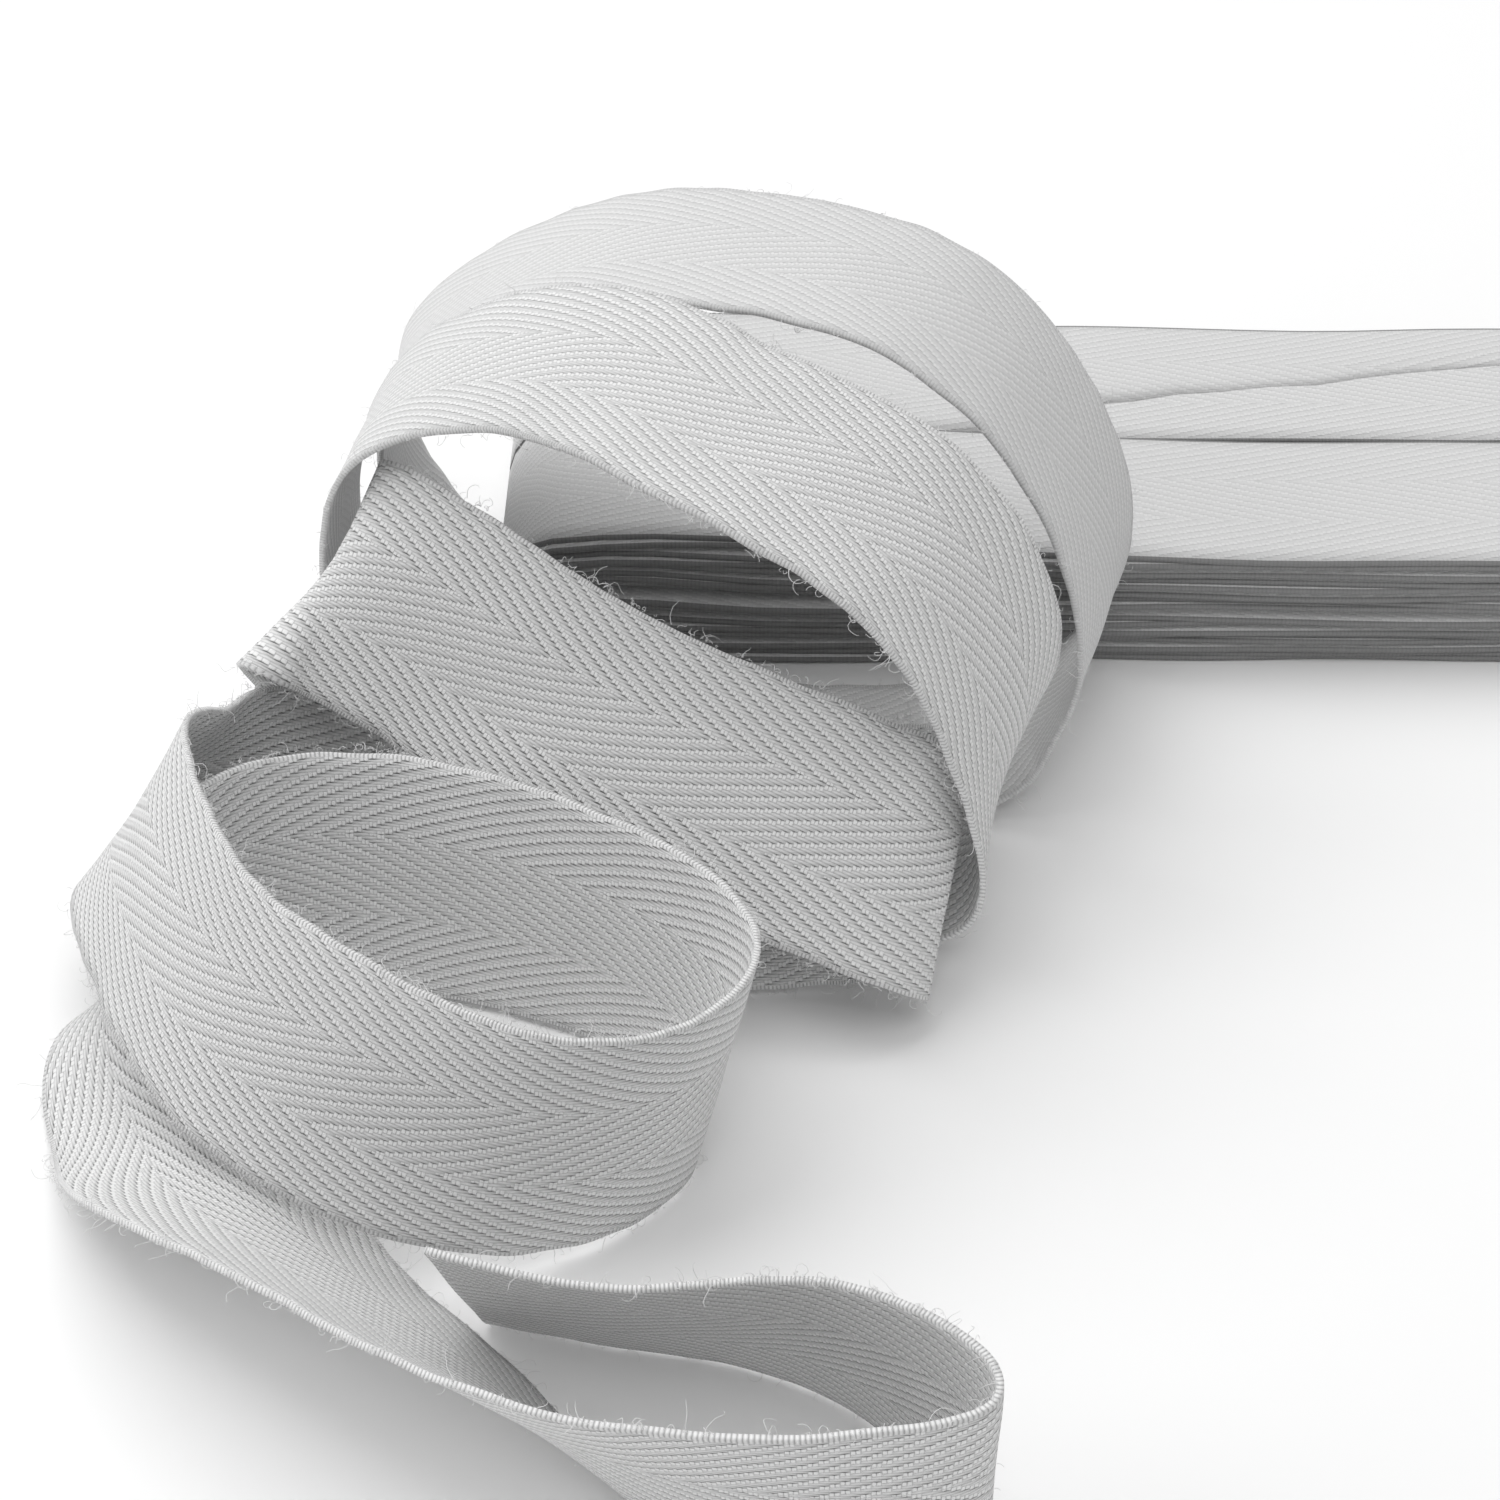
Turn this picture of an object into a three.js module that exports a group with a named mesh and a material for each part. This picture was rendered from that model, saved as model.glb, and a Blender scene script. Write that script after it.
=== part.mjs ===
// Roll of seam tape: a flat wound bundle of cotton herringbone tape, and its long loose end,
// which leaves the bundle low at the left and stands in a loose spiral of five loops in front.
// Millimetres. +Z up, the floor at Z 0. The tables below put the bundle's left end near X 0 and its
// front face at Y 0, with the loops towards -Y. The finished part has its origin at ORIGIN instead,
// in the middle of the flat underside of the bundle's front column.
import * as THREE from 'three';

// Driving sizes.
const ORIGIN = { x: 100, y: 12.5 };
const TAPE_WIDTH = 25;
const TAPE_THICK = 1.0;
const FLOOR_GAP = 0.02;

// The bundle: turns of tape laid flat in two columns side by side.
const BUNDLE_LEFT = -2;
const BUNDLE_RIGHT = 206;
const BUNDLE_DEPTH = 52.8;
const BUNDLE_HEIGHT = 14.7;
const FOLD_RADIUS = BUNDLE_HEIGHT / 2;
const FOLD_STEPS = 10;
const BUNDLE_BAYS = 9;

// How thick the stack of turns is along the bundle.
const BUNDLE_TOP = [
  { x: -2, height: 15.6 },
  { x: 22, height: 15.8 },
  { x: 60, height: 14.7 },
  { x: 105, height: 14.1 },
  { x: 160, height: 14.4 },
  { x: 206, height: 14.9 },
];

// The bundle from front to back: how far the outline is drawn in at each depth. The front and the
// back face show the edges of the turns, with a furrow at each gap between groups of turns, a slit
// in the middle, and a furrow all round where the two columns meet.
const BUNDLE_ROWS = [
  { y: 2.6, inset: 7.05, part: 'slit floor, front' },
  { y: 0.5, inset: 6.75, part: 'inner turns' },
  { y: 0.2, inset: 5.0, part: 'inner turns' },
  { y: 1.3, inset: 4.75, part: 'gap' },
  { y: 1.3, inset: 4.45, part: 'gap' },
  { y: 0.0, inset: 4.2, part: 'middle turns' },
  { y: 0.2, inset: 2.1, part: 'middle turns' },
  { y: 1.1, inset: 1.9, part: 'gap' },
  { y: 1.1, inset: 1.65, part: 'gap' },
  { y: 0.1, inset: 1.4, part: 'outer turns' },
  { y: 0.0, inset: 0.35, part: 'outer turns' },
  { y: 0.4, inset: 0.0, part: 'front column' },
  { y: 12.5, inset: 0.0, part: 'front column' },
  { y: 25.3, inset: 0.0, part: 'front column' },
  { y: 26.0, inset: 0.9, part: 'joint between the columns' },
  { y: 26.8, inset: 0.9, part: 'joint between the columns' },
  { y: 27.5, inset: 0.0, part: 'back column' },
  { y: 40.0, inset: 0.0, part: 'back column' },
  { y: 52.3, inset: 0.0, part: 'back column' },
  { y: 52.8, inset: 0.5, part: 'outer turns' },
  { y: 52.6, inset: 2.4, part: 'outer turns' },
  { y: 51.6, inset: 2.65, part: 'gap' },
  { y: 51.6, inset: 2.9, part: 'gap' },
  { y: 52.7, inset: 3.15, part: 'inner turns' },
  { y: 52.4, inset: 6.7, part: 'inner turns' },
  { y: 50.4, inset: 7.0, part: 'slit floor, back' },
];

// The loose end, from the bundle to the cut end. x, y and z are the middle of the tape. tip is how
// far its width is turned down from level, in degrees, and yaw how far it is turned about Z, from
// the back edge to the front edge: 0 is straight towards the front, 90 is towards -X.
const STATIONS = [
  { at: 'start', x: -0.9, y: 12.5, z: 0.6, tip: 0, yaw: 0 },
  { at: 'lift 1', x: -5, y: 13, z: 3.4, tip: 0, yaw: 0 },
  { at: 'rise 1', x: -10.5, y: 12.5, z: 12, tip: 0, yaw: 0 },
  { at: 'left 1', x: -12.8, y: 13.2, z: 25.5, tip: 0, yaw: 0 },
  { at: 'shoulder 1', x: -6, y: 11, z: 38.6, tip: 0, yaw: 10 },
  { at: 'crown 1a', x: 9.5, y: 6.3, z: 49.2, tip: 0, yaw: 15 },
  { at: 'crown 1', x: 26.5, y: 1.6, z: 52.1, tip: 0, yaw: 5 },
  { at: 'fall 1a', x: 47.3, y: -5.6, z: 48.9, tip: 4, yaw: 10 },
  { at: 'fall 1b', x: 61.5, y: -11.5, z: 33.5, tip: 8, yaw: 14 },
  { at: 'right 1', x: 65, y: -13.5, z: 15, tip: 5, yaw: 18 },
  { at: 'heel 1', x: 57, y: -14.5, z: 2.8, tip: 0, yaw: 14 },
  { at: 'floor 1a', x: 43, y: -17.5, z: 0.6, tip: 0, yaw: 5 },
  { at: 'floor 1b', x: 18, y: -16, z: 0.6, tip: 0, yaw: 0 },
  { at: 'lift 2', x: -4, y: -14, z: 3.2, tip: 0, yaw: 0 },
  { at: 'left 2', x: -14.6, y: -13.3, z: 16, tip: 0, yaw: 0 },
  { at: 'rise 2', x: -14.8, y: -13.5, z: 31, tip: 0, yaw: 4 },
  { at: 'shoulder 2', x: -8, y: -15.9, z: 45.4, tip: 3, yaw: 15 },
  { at: 'crown 2', x: 9.5, y: -20.8, z: 52.2, tip: 8, yaw: 24 },
  { at: 'fall 2a', x: 22.7, y: -28.1, z: 50.6, tip: 8, yaw: 25 },
  { at: 'fall 2b', x: 37.2, y: -34.5, z: 45.8, tip: 9, yaw: 29 },
  { at: 'fall 2c', x: 47.2, y: -38.5, z: 37.8, tip: 10, yaw: 28 },
  { at: 'right 2', x: 53, y: -41.5, z: 22, tip: 15, yaw: 24 },
  { at: 'heel 2', x: 48.2, y: -40.5, z: 9, tip: 24, yaw: 10 },
  { at: 'under 2a', x: 32, y: -37, z: 8, tip: 32, yaw: 10 },
  { at: 'under 2b', x: 11, y: -30, z: 8.5, tip: 37, yaw: 15 },
  { at: 'lift 3', x: -3, y: -26.5, z: 14, tip: 42, yaw: 38 },
  { at: 'rise 3', x: -12, y: -27.3, z: 25.2, tip: 42, yaw: 60 },
  { at: 'left 3', x: -14.2, y: -31.6, z: 34.4, tip: 41, yaw: 52 },
  { at: 'face 3a', x: -5, y: -36.3, z: 32.3, tip: 52, yaw: 45 },
  { at: 'face 3b', x: 5, y: -41.5, z: 27.8, tip: 51, yaw: 42 },
  { at: 'face 3c', x: 16.7, y: -46.9, z: 23.8, tip: 47, yaw: 40 },
  { at: 'face 3d', x: 28.4, y: -50.8, z: 20.5, tip: 44, yaw: 36 },
  { at: 'face 3e', x: 39, y: -53.4, z: 17.2, tip: 44, yaw: 22 },
  { at: 'fold 3a', x: 44, y: -53.9, z: 15.2, tip: 47, yaw: 17 },
  { at: 'right 3', x: 47, y: -51.5, z: 12, tip: 47, yaw: 17 },
  { at: 'fold 3b', x: 43.5, y: -48.4, z: 10.8, tip: 47, yaw: 17 },
  { at: 'under 3a', x: 35, y: -47.8, z: 10.9, tip: 50, yaw: 15 },
  { at: 'under 3b', x: 16, y: -49.8, z: 11, tip: 62, yaw: 12 },
  { at: 'under 3c', x: -4, y: -43, z: 11, tip: 62, yaw: 20 },
  { at: 'lift 4', x: -16, y: -39.5, z: 10.6, tip: 56, yaw: 25 },
  { at: 'rise 4', x: -29.5, y: -41.5, z: 15.5, tip: 50, yaw: 80 },
  { at: 'left 4a', x: -32.5, y: -51, z: 20, tip: 58, yaw: 86 },
  { at: 'left 4', x: -29.5, y: -62.5, z: 23, tip: 60, yaw: 76 },
  { at: 'front 4a', x: -24, y: -75, z: 22, tip: 62, yaw: 60 },
  { at: 'front 4b', x: -15, y: -84.6, z: 20.6, tip: 64, yaw: 42 },
  { at: 'front 4c', x: -2, y: -90.6, z: 17.2, tip: 66, yaw: 60 },
  { at: 'front 4d', x: 11.5, y: -91, z: 14, tip: 66, yaw: 75 },
  { at: 'right 4', x: 26.3, y: -78.2, z: 11.4, tip: 70, yaw: 50 },
  { at: 'back 4a', x: 18, y: -63, z: 12, tip: 76, yaw: 10 },
  { at: 'back 4b', x: -3, y: -52, z: 11.6, tip: 70, yaw: 10 },
  { at: 'back 4c', x: -19.5, y: -51, z: 11.3, tip: 64, yaw: 28 },
  { at: 'left 5', x: -32.6, y: -64.3, z: 10, tip: 50, yaw: 78 },
  { at: 'front 5a', x: -26.7, y: -74, z: 6.1, tip: 25, yaw: 55 },
  { at: 'front 5b', x: -22.5, y: -85.5, z: 7, tip: -10, yaw: 48 },
  { at: 'front 5c', x: -17, y: -93.7, z: 8.6, tip: -31, yaw: 44 },
  { at: 'front 5d', x: -9.5, y: -101.3, z: 9.6, tip: -42, yaw: 40 },
  { at: 'front 5e', x: 1, y: -110.5, z: 10.4, tip: -46, yaw: 36 },
  { at: 'front 5f', x: 12, y: -121, z: 11.4, tip: -60, yaw: 25 },
  { at: 'front 5g', x: 29, y: -129, z: 12.8, tip: -80, yaw: 10 },
  { at: 'right 5', x: 46, y: -127, z: 13, tip: -88, yaw: 0 },
  { at: 'back 5a', x: 36, y: -112.5, z: 12.3, tip: -72, yaw: 0 },
  { at: 'back 5b', x: 17, y: -107.5, z: 11.2, tip: -60, yaw: -2 },
  { at: 'cut end', x: 2.5, y: -104, z: 11.1, tip: -60, yaw: -5 },
];

// How finely the loose end is cut into flat facets: one degree of turn counts as this many mm.
const SECTIONS = 300;
const TURN_WEIGHT = 0.35;
const LENGTH_STEPS = 4000;
const WIDTH_BAYS = 2;

const rad = (degrees) => (degrees * Math.PI) / 180;

// A natural cubic curve through rows of numbers, at the given knots.
function naturalCurve(knots, rows) {
  const n = rows.length;
  const width = rows[0].length;
  const step = knots.slice(1).map((k, i) => k - knots[i]);
  const bend = rows.map(() => new Array(width).fill(0));
  for (let c = 0; c < width; c += 1) {
    const upper = new Array(n).fill(0);
    const right = new Array(n).fill(0);
    for (let i = 1; i < n - 1; i += 1) {
      const rise = (rows[i + 1][c] - rows[i][c]) / step[i];
      const run = (rows[i][c] - rows[i - 1][c]) / step[i - 1];
      const pivot = 2 * (step[i - 1] + step[i]) - step[i - 1] * upper[i - 1];
      upper[i] = step[i] / pivot;
      right[i] = (3 * (rise - run) - step[i - 1] * right[i - 1]) / pivot;
    }
    for (let i = n - 2; i > 0; i -= 1) {
      bend[i][c] = right[i] - upper[i] * bend[i + 1][c];
    }
  }
  return (t) => {
    let i = 0;
    while (i < n - 2 && t > knots[i + 1]) {
      i += 1;
    }
    const u = t - knots[i];
    const h = step[i];
    return rows[i].map((value, c) => {
      const slope = (rows[i + 1][c] - value) / h - (h * (2 * bend[i][c] + bend[i + 1][c])) / 3;
      const cubic = (bend[i + 1][c] - bend[i][c]) / (3 * h);
      return value + slope * u + bend[i][c] * u * u + cubic * u * u * u;
    });
  };
}

// The middle line and the width direction of the loose end, as a curve through the stations.
function looseCurve() {
  const rows = STATIONS.map((s) => {
    const level = Math.cos(rad(s.tip));
    const across = [-level * Math.sin(rad(s.yaw)), -level * Math.cos(rad(s.yaw)), -Math.sin(rad(s.tip))];
    return [s.x, s.y, s.z, ...across];
  });
  const knots = [0];
  for (let i = 1; i < rows.length; i += 1) {
    const dx = rows[i][0] - rows[i - 1][0];
    const dy = rows[i][1] - rows[i - 1][1];
    const dz = rows[i][2] - rows[i - 1][2];
    knots.push(knots[i - 1] + Math.sqrt(Math.hypot(dx, dy, dz)));
  }
  return { curve: naturalCurve(knots, rows), last: knots[knots.length - 1] };
}

// One cross-section: its middle, the direction across the tape and the direction out of its face.
function sectionAt(curve, last, t) {
  const reach = last / LENGTH_STEPS;
  const before = curve(Math.max(0, t - reach));
  const after = curve(Math.min(last, t + reach));
  const here = curve(t);
  const along = new THREE.Vector3(after[0] - before[0], after[1] - before[1], after[2] - before[2]);
  along.normalize();
  const across = new THREE.Vector3(here[3], here[4], here[5]);
  across.addScaledVector(along, -across.dot(along)).normalize();
  const out = new THREE.Vector3().crossVectors(across, along).normalize();
  const middle = new THREE.Vector3(here[0], here[1], here[2]);
  const lowest = middle.z - Math.abs(across.z) * (TAPE_WIDTH / 2) - Math.abs(out.z) * (TAPE_THICK / 2);
  middle.z += Math.max(0, FLOOR_GAP - lowest);
  return { middle, across, out, along };
}

// Sections spaced by length and by how sharply the tape turns and twists.
function spacedSections(count) {
  const { curve, last } = looseCurve();
  const cost = [0];
  let previous = sectionAt(curve, last, 0);
  for (let i = 1; i <= LENGTH_STEPS; i += 1) {
    const next = sectionAt(curve, last, (last * i) / LENGTH_STEPS);
    const length = next.middle.distanceTo(previous.middle);
    const turn = next.along.angleTo(previous.along) + next.across.angleTo(previous.across);
    cost.push(cost[i - 1] + length + (TURN_WEIGHT * turn * 180) / Math.PI);
    previous = next;
  }
  const sections = [];
  let j = 0;
  for (let k = 0; k <= count; k += 1) {
    const goal = (cost[LENGTH_STEPS] * k) / count;
    while (j < LENGTH_STEPS - 1 && cost[j + 1] < goal) {
      j += 1;
    }
    const part = Math.min(1, (goal - cost[j]) / (cost[j + 1] - cost[j]));
    sections.push(sectionAt(curve, last, (last * (j + part)) / LENGTH_STEPS));
  }
  return sections;
}

// A closed skin over a row of rings that all have the same number of points.
function skin(rings) {
  const positions = [];
  const index = [];
  const size = rings[0].length;
  rings.forEach((ring) => ring.forEach((p) => positions.push(p.x, p.y, p.z)));
  for (let r = 0; r < rings.length - 1; r += 1) {
    for (let i = 0; i < size; i += 1) {
      const a = r * size + i;
      const b = r * size + ((i + 1) % size);
      index.push(a, b, a + size);
      index.push(b, b + size, a + size);
    }
  }
  return { positions, index, size, count: rings.length };
}

function toMesh(name, positions, index, colour) {
  const geometry = new THREE.BufferGeometry();
  geometry.setAttribute('position', new THREE.Float32BufferAttribute(positions, 3));
  geometry.setIndex(index);
  geometry.translate(-ORIGIN.x, -ORIGIN.y, 0);
  geometry.computeVertexNormals();
  const material = new THREE.MeshStandardMaterial({ color: colour, roughness: 0.95, metalness: 0 });
  const mesh = new THREE.Mesh(geometry, material);
  mesh.name = name;
  return mesh;
}

// The loose end: a strip of tape swept along the spiral.
function looseEnd() {
  const rings = spacedSections(SECTIONS).map((s) => {
    const ring = [];
    for (let side = 1; side >= -1; side -= 2) {
      for (let k = 0; k <= WIDTH_BAYS; k += 1) {
        const reach = side * TAPE_WIDTH * (k / WIDTH_BAYS - 0.5);
        const point = s.middle.clone().addScaledVector(s.across, reach);
        ring.push(point.addScaledVector(s.out, (side * TAPE_THICK) / 2));
      }
    }
    return ring;
  });
  const { positions, index, size, count } = skin(rings);
  for (let end = 0; end < 2; end += 1) {
    const base = end * (count - 1) * size;
    for (let k = 0; k < WIDTH_BAYS; k += 1) {
      const quad = [base + k, base + k + 1, base + size - 2 - k, base + size - 1 - k];
      const turned = end === 0 ? [quad[3], quad[2], quad[1], quad[0]] : quad;
      index.push(turned[0], turned[1], turned[2]);
      index.push(turned[0], turned[2], turned[3]);
    }
  }
  return toMesh('loose_end', positions, index, 0xd8d8d6);
}

function stackHeight(x) {
  const i = Math.max(1, BUNDLE_TOP.findIndex((row) => row.x >= x - 1e-9));
  const a = BUNDLE_TOP[i - 1];
  const b = BUNDLE_TOP[i];
  const part = Math.min(1, Math.max(0, (x - a.x) / (b.x - a.x)));
  const ease = part * part * (3 - 2 * part);
  return a.height + (b.height - a.height) * ease;
}

// One outline of the bundle, seen from the front: two straights and two folds, drawn in by inset.
function bundleRing(y, inset) {
  const ring = [];
  const radius = FOLD_RADIUS - inset;
  const from = BUNDLE_LEFT + FOLD_RADIUS;
  const to = BUNDLE_RIGHT - FOLD_RADIUS;
  const place = (x, z) => ring.push(new THREE.Vector3(x, y, (z * stackHeight(x)) / BUNDLE_HEIGHT));
  for (let k = 1; k < BUNDLE_BAYS; k += 1) {
    place(from + ((to - from) * k) / BUNDLE_BAYS, FOLD_RADIUS - radius);
  }
  for (let k = 0; k <= FOLD_STEPS; k += 1) {
    const turn = -Math.PI / 2 + (Math.PI * k) / FOLD_STEPS;
    place(to + radius * Math.cos(turn), FOLD_RADIUS + radius * Math.sin(turn));
  }
  for (let k = 1; k < BUNDLE_BAYS; k += 1) {
    place(to + ((from - to) * k) / BUNDLE_BAYS, FOLD_RADIUS + radius);
  }
  for (let k = 0; k <= FOLD_STEPS; k += 1) {
    const turn = Math.PI / 2 + (Math.PI * k) / FOLD_STEPS;
    place(from + radius * Math.cos(turn), FOLD_RADIUS + radius * Math.sin(turn));
  }
  return ring;
}

// The floor of the slit in the middle of a face, closed with quads between top and bottom points.
function closeSlit(index, base, bays, steps, front) {
  const size = 2 * (bays - 1) + 2 * (steps + 1);
  const at = (k) => base + (((k % size) + size) % size);
  const first = bays - 1;
  for (let k = 0; k < size / 2; k += 1) {
    const low = at(first + steps / 2 - k);
    const high = at(first + steps / 2 + k);
    const nextLow = at(first + steps / 2 - k - 1);
    const nextHigh = at(first + steps / 2 + k + 1);
    const faces = k === 0 ? [[low, nextHigh, nextLow]] : [[low, high, nextHigh], [low, nextHigh, nextLow]];
    faces.forEach((f) => {
      if (new Set(f).size === 3) {
        index.push(...(front ? [f[0], f[2], f[1]] : f));
      }
    });
  }
}

function woundBundle() {
  const rings = BUNDLE_ROWS.map((row) => bundleRing(row.y, row.inset));
  const { positions, index, size, count } = skin(rings);
  closeSlit(index, 0, BUNDLE_BAYS, FOLD_STEPS, true);
  closeSlit(index, (count - 1) * size, BUNDLE_BAYS, FOLD_STEPS, false);
  return toMesh('wound_bundle', positions, index, 0xd4d4d2);
}

// Turns every face of a closed mesh outward, by the sign of its volume.
function faceOut(mesh) {
  const p = mesh.geometry.attributes.position;
  const index = mesh.geometry.index.array;
  const corner = (i) => new THREE.Vector3().fromBufferAttribute(p, i);
  let volume = 0;
  for (let i = 0; i < index.length; i += 3) {
    volume += corner(index[i]).dot(corner(index[i + 1]).cross(corner(index[i + 2]))) / 6;
  }
  if (volume < 0) {
    for (let i = 0; i < index.length; i += 3) {
      [index[i + 1], index[i + 2]] = [index[i + 2], index[i + 1]];
    }
    mesh.geometry.computeVertexNormals();
  }
  return mesh;
}

const roll = new THREE.Group();
roll.name = 'seam_tape_roll';
roll.add(faceOut(woundBundle()));
roll.add(faceOut(looseEnd()));

export default roll;
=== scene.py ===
import math
import random
from collections import namedtuple

import bmesh
import bpy
from bpy.props import FloatProperty, FloatVectorProperty, IntProperty, PointerProperty
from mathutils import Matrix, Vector, noise


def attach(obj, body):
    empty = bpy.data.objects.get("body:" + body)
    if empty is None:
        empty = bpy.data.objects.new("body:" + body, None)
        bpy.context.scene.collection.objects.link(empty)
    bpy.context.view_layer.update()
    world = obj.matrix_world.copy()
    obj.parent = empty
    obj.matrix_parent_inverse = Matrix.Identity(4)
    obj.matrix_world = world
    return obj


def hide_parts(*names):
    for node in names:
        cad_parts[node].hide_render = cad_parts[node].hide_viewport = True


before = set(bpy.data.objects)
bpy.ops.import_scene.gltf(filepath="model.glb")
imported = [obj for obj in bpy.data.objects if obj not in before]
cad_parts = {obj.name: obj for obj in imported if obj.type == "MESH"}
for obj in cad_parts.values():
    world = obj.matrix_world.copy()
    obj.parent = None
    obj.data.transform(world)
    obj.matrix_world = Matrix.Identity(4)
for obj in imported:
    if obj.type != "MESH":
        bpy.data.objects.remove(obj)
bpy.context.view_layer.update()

# Dresses the roll of seam tape: the loose end in its loose spiral, the two wound columns of the
# bundle turn by turn, the woven herringbone, and the fluff along the edges.
bl_info = {
    "name": "Seam tape roll",
    "version": (1, 0, 0),
    "blender": (4, 5, 0),
    "location": "View3D > Sidebar > Tape",
    "description": "Woven looks for a flat wound roll of herringbone tape with a loose end",
    "category": "Object",
}

MM = 0.001

# Places and lengths are in millimetres, as in the part's source, where a comment doesn't say metres.
# The frame's origin is here.
ORIGIN = Vector((100, 12.5, 0))

# The loose end's route, as in the part's source: the middle of the tape, how far its width tips down
# from level, and how far it is turned about Z, both in degrees.
Station = namedtuple("Station", "at x y z tip yaw")
STATIONS = [Station(*row) for row in (
    ("start", -0.9, 12.5, 0.6, 0, 0),
    ("lift 1", -5, 13, 3.4, 0, 0),
    ("rise 1", -10.5, 12.5, 12, 0, 0),
    ("left 1", -12.8, 13.2, 25.5, 0, 0),
    ("shoulder 1", -6, 11, 38.6, 0, 10),
    ("crown 1a", 9.5, 6.3, 49.2, 0, 15),
    ("crown 1", 26.5, 1.6, 52.1, 0, 5),
    ("fall 1a", 47.3, -5.6, 48.9, 4, 10),
    ("fall 1b", 61.5, -11.5, 33.5, 8, 14),
    ("right 1", 65, -13.5, 15, 5, 18),
    ("heel 1", 57, -14.5, 2.8, 0, 14),
    ("floor 1a", 43, -17.5, 0.6, 0, 5),
    ("floor 1b", 18, -16, 0.6, 0, 0),
    ("lift 2", -4, -14, 3.2, 0, 0),
    ("left 2", -14.6, -13.3, 16, 0, 0),
    ("rise 2", -14.8, -13.5, 31, 0, 4),
    ("shoulder 2", -8, -15.9, 45.4, 3, 15),
    ("crown 2", 9.5, -20.8, 52.2, 8, 24),
    ("fall 2a", 22.7, -28.1, 50.6, 8, 25),
    ("fall 2b", 37.2, -34.5, 45.8, 9, 29),
    ("fall 2c", 47.2, -38.5, 37.8, 10, 28),
    ("right 2", 53, -41.5, 22, 15, 24),
    ("heel 2", 48.2, -40.5, 9, 24, 10),
    ("under 2a", 32, -37, 8, 32, 10),
    ("under 2b", 11, -30, 8.5, 37, 15),
    ("lift 3", -3, -26.5, 14, 42, 38),
    ("rise 3", -12, -27.3, 25.2, 42, 60),
    ("left 3", -14.2, -31.6, 34.4, 41, 52),
    ("face 3a", -5, -36.3, 32.3, 52, 45),
    ("face 3b", 5, -41.5, 27.8, 51, 42),
    ("face 3c", 16.7, -46.9, 23.8, 47, 40),
    ("face 3d", 28.4, -50.8, 20.5, 44, 36),
    ("face 3e", 39, -53.4, 17.2, 44, 22),
    ("fold 3a", 44, -53.9, 15.2, 47, 17),
    ("right 3", 47, -51.5, 12, 47, 17),
    ("fold 3b", 43.5, -48.4, 10.8, 47, 17),
    ("under 3a", 35, -47.8, 10.9, 50, 15),
    ("under 3b", 16, -49.8, 11, 62, 12),
    ("under 3c", -4, -43, 11, 62, 20),
    ("lift 4", -16, -39.5, 10.6, 56, 25),
    ("rise 4", -29.5, -41.5, 15.5, 50, 80),
    ("left 4a", -32.5, -51, 20, 58, 86),
    ("left 4", -29.5, -62.5, 23, 60, 76),
    ("front 4a", -24, -75, 22, 62, 60),
    ("front 4b", -15, -84.6, 20.6, 64, 42),
    ("front 4c", -2, -90.6, 17.2, 66, 60),
    ("front 4d", 11.5, -91, 14, 66, 75),
    ("right 4", 26.3, -78.2, 11.4, 70, 50),
    ("back 4a", 18, -63, 12, 76, 10),
    ("back 4b", -3, -52, 11.6, 70, 10),
    ("back 4c", -19.5, -51, 11.3, 64, 28),
    ("left 5", -32.6, -64.3, 10, 50, 78),
    ("front 5a", -26.7, -74, 6.1, 25, 55),
    ("front 5b", -22.5, -85.5, 7, -10, 48),
    ("front 5c", -17, -93.7, 8.6, -31, 44),
    ("front 5d", -9.5, -101.3, 9.6, -42, 40),
    ("front 5e", 1, -110.5, 10.4, -46, 36),
    ("front 5f", 12, -121, 11.4, -60, 25),
    ("front 5g", 29, -129, 12.8, -80, 10),
    ("right 5", 46, -127, 13, -88, 0),
    ("back 5a", 36, -112.5, 12.3, -72, 0),
    ("back 5b", 17, -107.5, 11.2, -60, -2),
    ("cut end", 2.5, -104, 11.1, -60, -5),
)]

# How finely the loose end's route is worked out, and how finely its sheet is laid along and across.
ROUTE_STEPS = 9000
LOOSE_STEPS = 1350
LOOSE_STEPS_ACROSS = 16
# The stretch of the loose end that is evened out, over how many steps each way, and how often.
CALM_FROM = "under 3b"
CALM_TO = "front 5g"
CALM_REACH = 7
CALM_PASSES = 3
# How closely the loose tape's ripples follow each other over its face, along its edges and in its
# width, in waves to the millimetre, and how far its edges drift.
FACE_WAVES = 0.11
EDGE_WAVES = 0.23
WIDTH_WAVES = 0.2
EDGE_DRIFT = 0.35

# The gap under the loose tape, and how low its middle, a wound turn's middle and a fibre may come.
GAP_BELOW = 0.05
LOOSE_LOWEST = 0.45
WOUND_LOWEST = 0.32
FIBRE_LOWEST = 0.08

# The bundle, as in the part's source.
BUNDLE_LEFT = -2
BUNDLE_RIGHT = 206
BUNDLE_HEIGHT = 14.7
FOLD_RADIUS = BUNDLE_HEIGHT / 2
# How high the stack of turns stands, along the bundle.
STACK = ((-2, 15.6), (22, 15.8), (60, 14.7), (105, 14.1), (160, 14.4), (206, 14.9))
# How high the slit between the upper and the lower turns stands, along the bundle.
SLIT = ((-2, 7.8), (10, 9.6), (33, 8.2), (67, 6.6), (110, 6.1), (206, 7.3))
# The front edge of each column.
COLUMN_FRONTS = (("front_column", 0.5), ("back_column", 26.9))

# How deep the middle of the tape lies in the stack at the start of each turn, and at the end of the
# last: three groups with a gap between them.
TURN_DEPTHS = (0.40, 1.00, 1.62, 2.95, 3.58, 4.2, 5.55, 6.15, 6.75)
# How far a turn has moved in towards the next one at the right fold and at the left fold.
IN_AT_RIGHT = 0.5
IN_AT_LEFT = 0.9
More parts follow.
